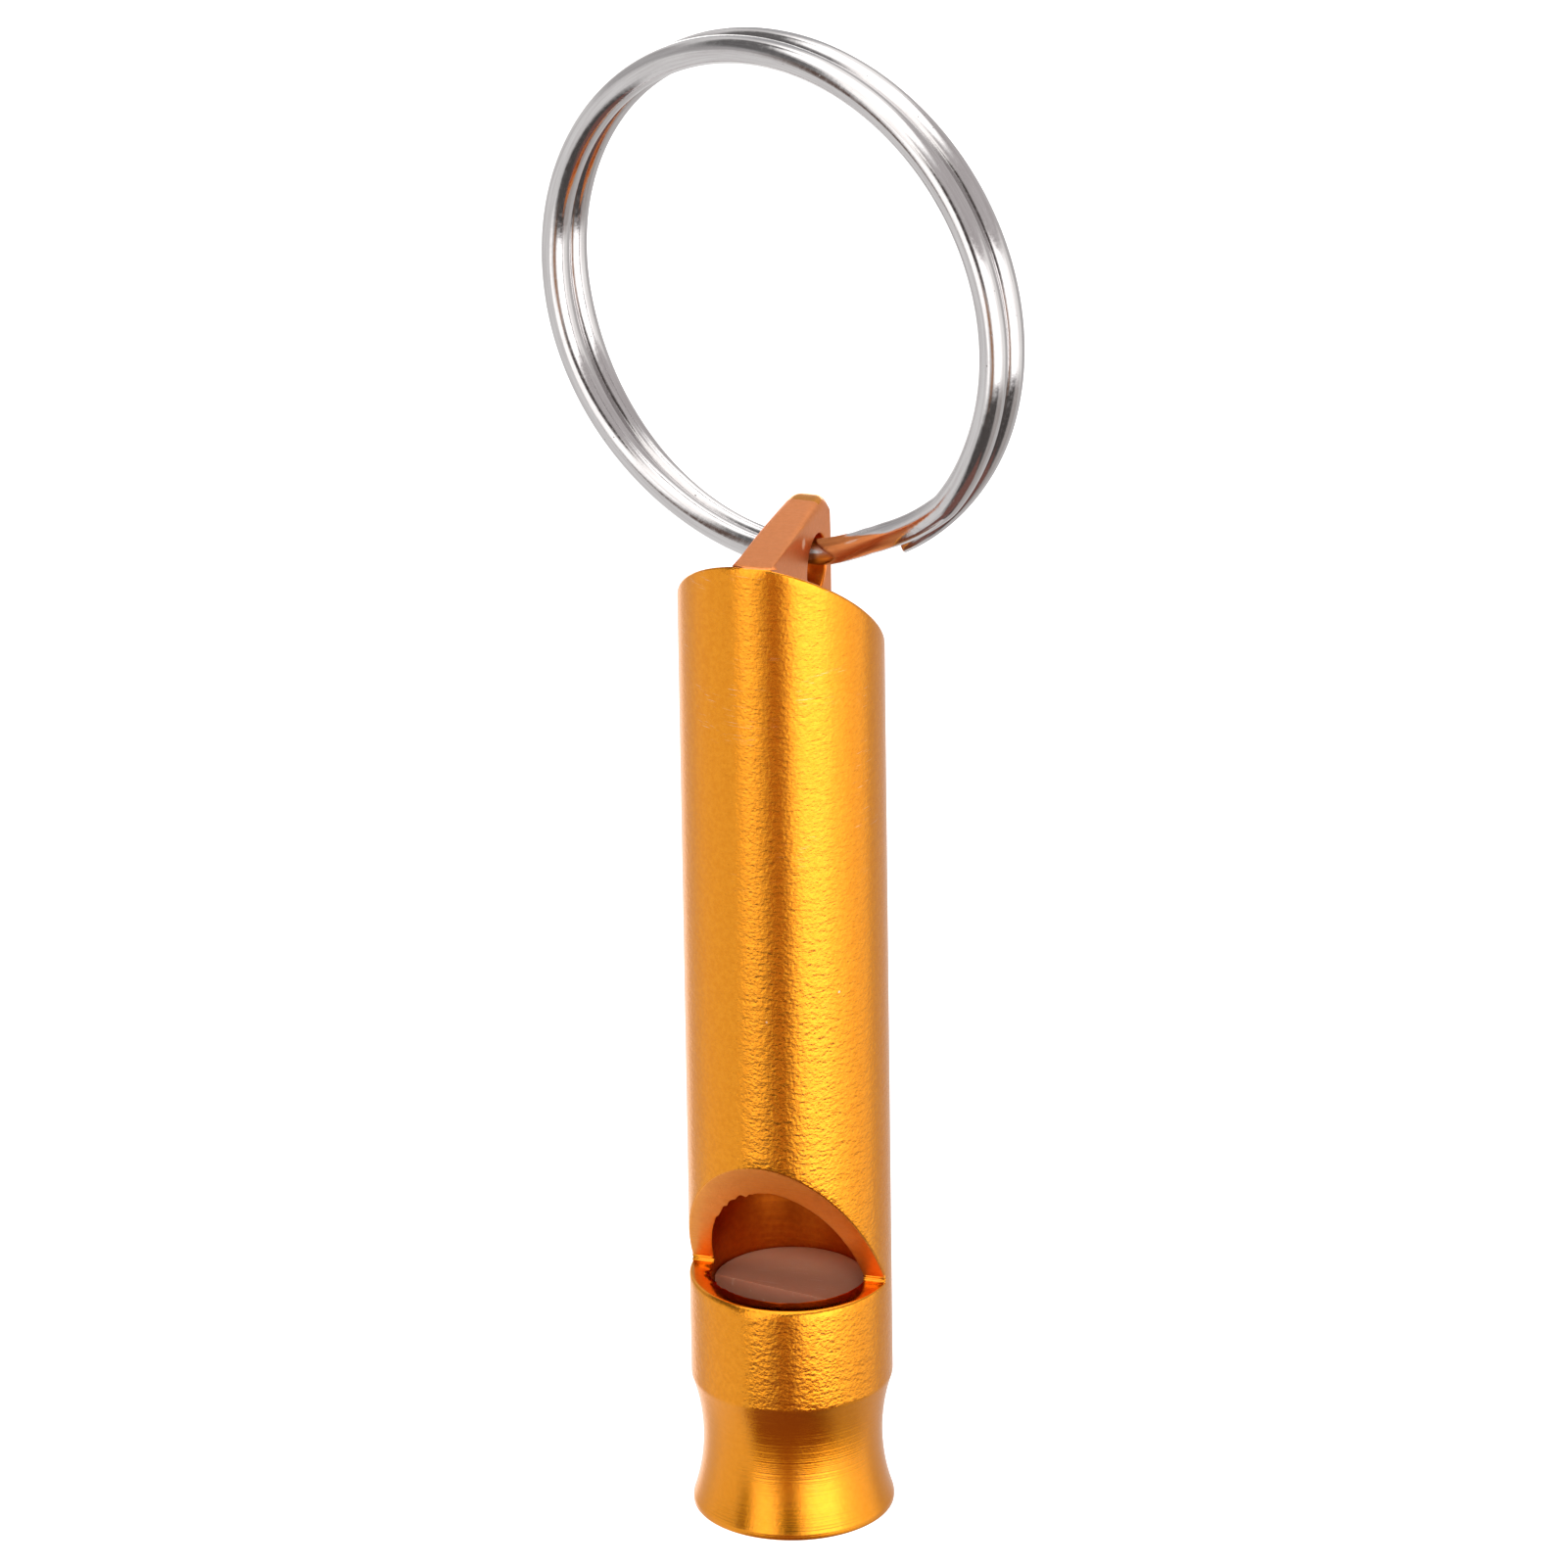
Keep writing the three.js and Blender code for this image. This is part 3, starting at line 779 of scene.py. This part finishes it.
# Each line of the wire runs from the one cropped end to the other; the crop's slant shifts its ends
around = np.linspace(0, 2 * math.pi, WIRE_COLUMNS + 1)
crop = CROPPED * np.cos(around / 2) ** 2
wire_share = np.linspace(0, 1, WIRE_STEPS + 1)[:, None]
wire_angle = (REAR_END - crop) * (1 - wire_share) + (FRONT_END + crop) * wire_share
centre, outward = wire_centre(wire_angle)
tangent = unit(wire_centre(wire_angle + 0.2)[0] - wire_centre(wire_angle - 0.2)[0])
sideways = unit(np.cross(tangent, outward))
outward = np.cross(sideways, tangent)
thinned = near_crossover(wire_angle)[..., None]
half_radial = (WIRE_RADIAL + (THIN_RADIAL - WIRE_RADIAL) * thinned) / 2
half_axial = (WIRE_AXIAL + (THIN_AXIAL - WIRE_AXIAL) * thinned) / 2
wire_grid = (
    centre
    + half_radial * np.cos(around)[:, None] * outward
    + half_axial * np.sin(around)[:, None] * sideways
)
ring_patches = {
    "wire": (ONLY_FINISH, [wire_grid]),
    "end": (ONLY_FINISH, [closed_end(wire_grid[0]), closed_end(wire_grid[-1])]),
}
ring_mesh, ring_surface = welded_mesh("split_ring_wire", ring_patches, np.zeros(3))
round_edges(ring_mesh, ring_surface, {("wire", "end"): 0.05})
ring = finished_piece("split_ring_wire", ring_mesh, "ring")


def polished_steel():
    """Steel drawn to wire and polished: fine lines along it, uneven polish, small dark pits, and a
    painted shade, dark brown, on the wire where it lies inside the fin's hole."""
    bright = (0.63, 0.615, 0.615, 1)
    grey = (0.56, 0.54, 0.54, 1)
    pitted = (0.16, 0.14, 0.13, 1)
    painted_hole_shade = (0.11, 0.05, 0.03, 1)
    hole_shade_spot = (0.75, -0.05, -19.95)
    material, tree, shader = plain_material("polished_steel")
    place = place_on_piece(tree)
    along_wire = node(tree, "ShaderNodeUVMap", {}, uv_map="walked").outputs["UV"]
    drawn = clouds(tree, stretched(tree, along_wire, (9.0, 0.35, 1.0)), 1.0, 3.0)
    polish = clouds(tree, place, 5.0, 3.0)
    large_pits = specks(tree, place, scale=1.7, size=0.07, share=0.05)
    pits = combined(tree, "MAXIMUM", large_pits, specks(tree, place, scale=5.0, size=0.16, share=0.04))
    steel = tinted(tree, eased(tree, drawn, 0.35, 0.65), grey, bright)
    steel = tinted(tree, combined(tree, "MULTIPLY", pits, 0.7), steel, pitted)
    # Painted shade: close to the spot where the wire lies in the fin's hole, it is darkened to brown in
    # place of the hole's shadow and its dark reflection.
    from_hole = away_from(tree, place, hole_shade_spot)
    steel = tinted(tree, eased(tree, from_hole, 0.80, 0.45, 0.0, 0.85), steel, painted_hole_shade)
    tree.links.new(steel, shader.inputs["Base Color"])
    tree.links.new(eased(tree, polish, 0.35, 0.75, 0.09, 0.20), shader.inputs["Roughness"])
    lines = combined(tree, "MULTIPLY_ADD", drawn, 0.6, combined(tree, "MULTIPLY", polish, 0.4))
    add_relief(tree, shader, combined(tree, "SUBTRACT", lines, pits), 0.005)
    shader.inputs["Metallic"].default_value = 1.0
    return material


ring_mesh.materials.append(polished_steel())
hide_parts("split_ring")

# Camera. It stands in front of the window, a little to the right of it and above, so far away that
# the rod's sides are nearly parallel in the picture, as in the photograph.
VIEW_AZIMUTH = math.radians(17.730)
VIEW_ELEVATION = math.radians(22.758)
VIEW_ROLL = math.radians(0.85)
VIEW_DISTANCE = 447.982
VIEW_RIGHT = -0.117
VIEW_UP = 9.079
AIM_HEIGHT = 21.0
PICTURE_PIXELS = 1601
PIXELS_PER_MM = 26.05338
SENSOR = 36.0
view_across = np.array([math.cos(VIEW_AZIMUTH), math.sin(VIEW_AZIMUTH), 0])
view_away = np.array([-math.sin(VIEW_AZIMUTH), math.cos(VIEW_AZIMUTH), 0])
view_upward = view_away * math.sin(VIEW_ELEVATION) + upright * math.cos(VIEW_ELEVATION)
view_back = -view_away * math.cos(VIEW_ELEVATION) + upright * math.sin(VIEW_ELEVATION)
picture_x = view_across * math.cos(VIEW_ROLL) - view_upward * math.sin(VIEW_ROLL)
picture_y = view_across * math.sin(VIEW_ROLL) + view_upward * math.cos(VIEW_ROLL)
aim = mouth_centre + [0, 0, AIM_HEIGHT]
eye = aim + VIEW_RIGHT * picture_x + VIEW_UP * picture_y + VIEW_DISTANCE * view_back


def set_in_place(thing, right, up, back, place):
    """Turns an object's own axes to these directions and sets it at a place in millimetres."""
    axes_and_place = np.eye(4)
    axes_and_place[:3] = np.stack([right, up, back, np.asarray(place) / 1000], -1)
    thing.matrix_world = axes_and_place.T.tolist()


camera_data = bpy.data.cameras.new("view")
camera_data.sensor_width = SENSOR
camera_data.lens = PIXELS_PER_MM * VIEW_DISTANCE * SENSOR / PICTURE_PIXELS
camera_data.clip_start = 0.01
camera_data.clip_end = 20
camera = added("view", camera_data)
set_in_place(camera, picture_x, picture_y, view_back, eye)
bpy.context.scene.camera = camera

# Studio. A white tent, seen only in reflections, with soft boxes on both sides of the camera, a light
# above, and darker openings between and below them; a warm card under the mouth, mirrored by the
# neck; a pale floor, and soft lamps that light the plug and the floor.
world = bpy.data.worlds.new("white_tent")
world.use_nodes = True
world.cycles.sampling_method = "NONE"
bpy.context.scene.world = world
tent = world.node_tree
facing_camera = {
    "Vector": tent.nodes.new("ShaderNodeTexCoord").outputs["Generated"],
    "Angle": -VIEW_AZIMUTH,
}
direction = node(tent, "ShaderNodeVectorRotate", facing_camera, rotation_type="Z_AXIS").outputs["Vector"]
tent_axes = node(tent, "ShaderNodeSeparateXYZ", {0: direction}).outputs
to_front = combined(tent, "MULTIPLY", tent_axes["Y"], -1.0)
bearing = combined(tent, "MULTIPLY", combined(tent, "ARCTAN2", tent_axes["X"], to_front), 180 / math.pi)
above_level = combined(tent, "MULTIPLY", combined(tent, "ARCSINE", tent_axes["Z"]), 180 / math.pi)


def between(value, start, end, soft):
    """1 between start and end and 0 outside, with edges that ease over twice the softness."""
    rise = eased(tent, value, start - soft, start + soft)
    fall = eased(tent, value, end - soft, end + soft)
    return combined(tent, "SUBTRACT", rise, fall)


# Panels of the tent, each laid over those before it: bearing from the camera and height, from and to
# in degrees with the softness of the edge, lean of the height with the bearing, and colour
LEANS_ABOUT = -98.0
mirrored = (0.92, 0.91, 0.905, 1)
for bearings, heights, lean, colour in (
    ((95, 168, 22), (-120, 60, 10), 0.0, (0.66, 0.64, 0.635, 1)),
    ((-175, -142, 12), (-55, -2, 8), 0.0, (1.25, 1.24, 1.23, 1)),
    ((-146, -114, 10), (-40, 0, 8), 0.0, (0.78, 0.77, 0.77, 1)),
    ((166, 230, 10), (4, 44, 8), 0.0, (0.56, 0.56, 0.57, 1)),
    ((-230, -162, 10), (4, 44, 8), 0.0, (0.56, 0.56, 0.57, 1)),
    ((-220, 220, 10), (55, 120, 8), 0.0, (2.2, 2.18, 2.16, 1)),
    ((160, 230, 8), (-12, 8, 4), 0.0, (2.5, 2.46, 2.42, 1)),
    ((-230, -160, 8), (-12, 8, 4), 0.0, (2.5, 2.46, 2.42, 1)),
    ((-3, 138, 8), (6, 51, 6), 0.0, (0.64, 0.605, 0.605, 1)),
    ((-52, 0, 8), (22, 66, 8), 0.0, (1.8, 1.76, 1.72, 1)),
    ((132, 176, 8), (40, 66, 8), 0.0, (1.4, 1.38, 1.36, 1)),
    ((-146, -60, 8), (4, 30, 6), 0.0, (0.56, 0.55, 0.55, 1)),
    ((-142, -54, 9), (28, 58, 7), -0.33, (0.19, 0.185, 0.185, 1)),
    ((8, 106, 12), (-29, 14, 4), 0.0, (1.2, 1.18, 1.16, 1)),
    ((12, 74, 14), (-29, 13, 4), 0.0, (1.8, 1.77, 1.76, 1)),
    ((14, 52, 11), (-29, 12, 4), 0.0, (2.9, 2.85, 2.85, 1)),
    ((28, 52, 7), (-11, 6, 5), 0.0, (3.2, 3.15, 3.1, 1)),
    ((-48, -29, 7), (-25, 20, 4), 0.0, (1.85, 1.82, 1.8, 1)),
    ((-34, -17, 6), (-14, 20, 4), 0.0, (1.85, 1.82, 1.8, 1)),
    ((-66, -54, 5), (-14, 20, 5), 0.0, (0.16, 0.105, 0.085, 1)),
    ((-17, 5, 7), (-5, 34, 5), 0.0, (0.10, 0.085, 0.08, 1)),
    ((-18, 2, 8), (-40, -6, 5), 0.0, (0.52, 0.285, 0.17, 1)),
    ((50, 104, 12), (-120, -30, 5), 0.0, (0.52, 0.48, 0.46, 1)),
    ((-53, 56, 10), (-120, -28, 4), 0.0, (0.10, 0.09, 0.087, 1)),
):
    off_middle = combined(tent, "SUBTRACT", bearing, LEANS_ABOUT)
    leaning = combined(tent, "MULTIPLY_ADD", off_middle, -lean, above_level)
    panel = combined(tent, "MULTIPLY", between(bearing, *bearings), between(leaning, *heights))
    mirrored = tinted(tent, panel, mirrored, colour)
AMBIENT = (0.6, 0.6, 0.6, 1)
WHITE = (1, 1, 1, 1)
ray = tent.nodes.new("ShaderNodeLightPath").outputs
seen_plainly = combined(tent, "MAXIMUM", ray["Is Camera Ray"], ray["Is Transmission Ray"])
unmirrored = tinted(tent, seen_plainly, AMBIENT, WHITE)
tent_light = tinted(tent, ray["Is Glossy Ray"], unmirrored, mirrored)
tent.links.new(tent_light, tent.nodes["Background"].inputs["Color"])


def level_sheet(name, left, right, near, far, height):
    """Level rectangle in the scene, between places in millimetres."""
    corners = [(left, near, height), (right, near, height), (right, far, height), (left, far, height)]
    mesh = bpy.data.meshes.new(name)
    mesh.from_pydata((np.array(corners) / 1000).tolist(), [], [(0, 1, 2, 3)])
    return added(name, mesh)


floor = level_sheet("floor", left=-6000, right=6000, near=-6000, far=6000, height=-120)
floor.visible_glossy = False
material, _, shader = plain_material("pale_floor")
shader.inputs["Base Color"].default_value = (0.85, 0.85, 0.85, 1)
shader.inputs["Roughness"].default_value = 0.9
shader.inputs["Emission Color"].default_value = WHITE
shader.inputs["Emission Strength"].default_value = 0.75
floor.data.materials.append(material)

card = level_sheet("warm_card", left=-17, right=40, near=-50, far=-12, height=-80)
card.visible_camera = False
card.visible_diffuse = False
card.visible_shadow = False
card.visible_transmission = False
material, _, shader = plain_material("warm_card")
shader.inputs["Base Color"].default_value = (0, 0, 0, 1)
shader.inputs["Specular IOR Level"].default_value = 0.0
shader.inputs["Emission Color"].default_value = (0.25, 0.118, 0.1, 1)
shader.inputs["Emission Strength"].default_value = 1.0
card.data.materials.append(material)

LAMP_SIZE = 0.4
for name, lamp_place, power in (
    ("key_lamp", (350, -550, 350), 4.0),
    ("fill_lamp", (-500, -400, 300), 2.0),
):
    lamp_data = bpy.data.lights.new(name, "AREA")
    lamp_data.size = LAMP_SIZE
    lamp_data.energy = power
    lamp = added(name, lamp_data)
    lamp_back = unit(np.array(lamp_place))
    lamp_right = unit(np.cross(upright, lamp_back))
    set_in_place(lamp, lamp_right, np.cross(lamp_back, lamp_right), lamp_back, lamp_place)
    lamp.visible_glossy = False

bpy.context.scene.view_settings.view_transform = "Standard"
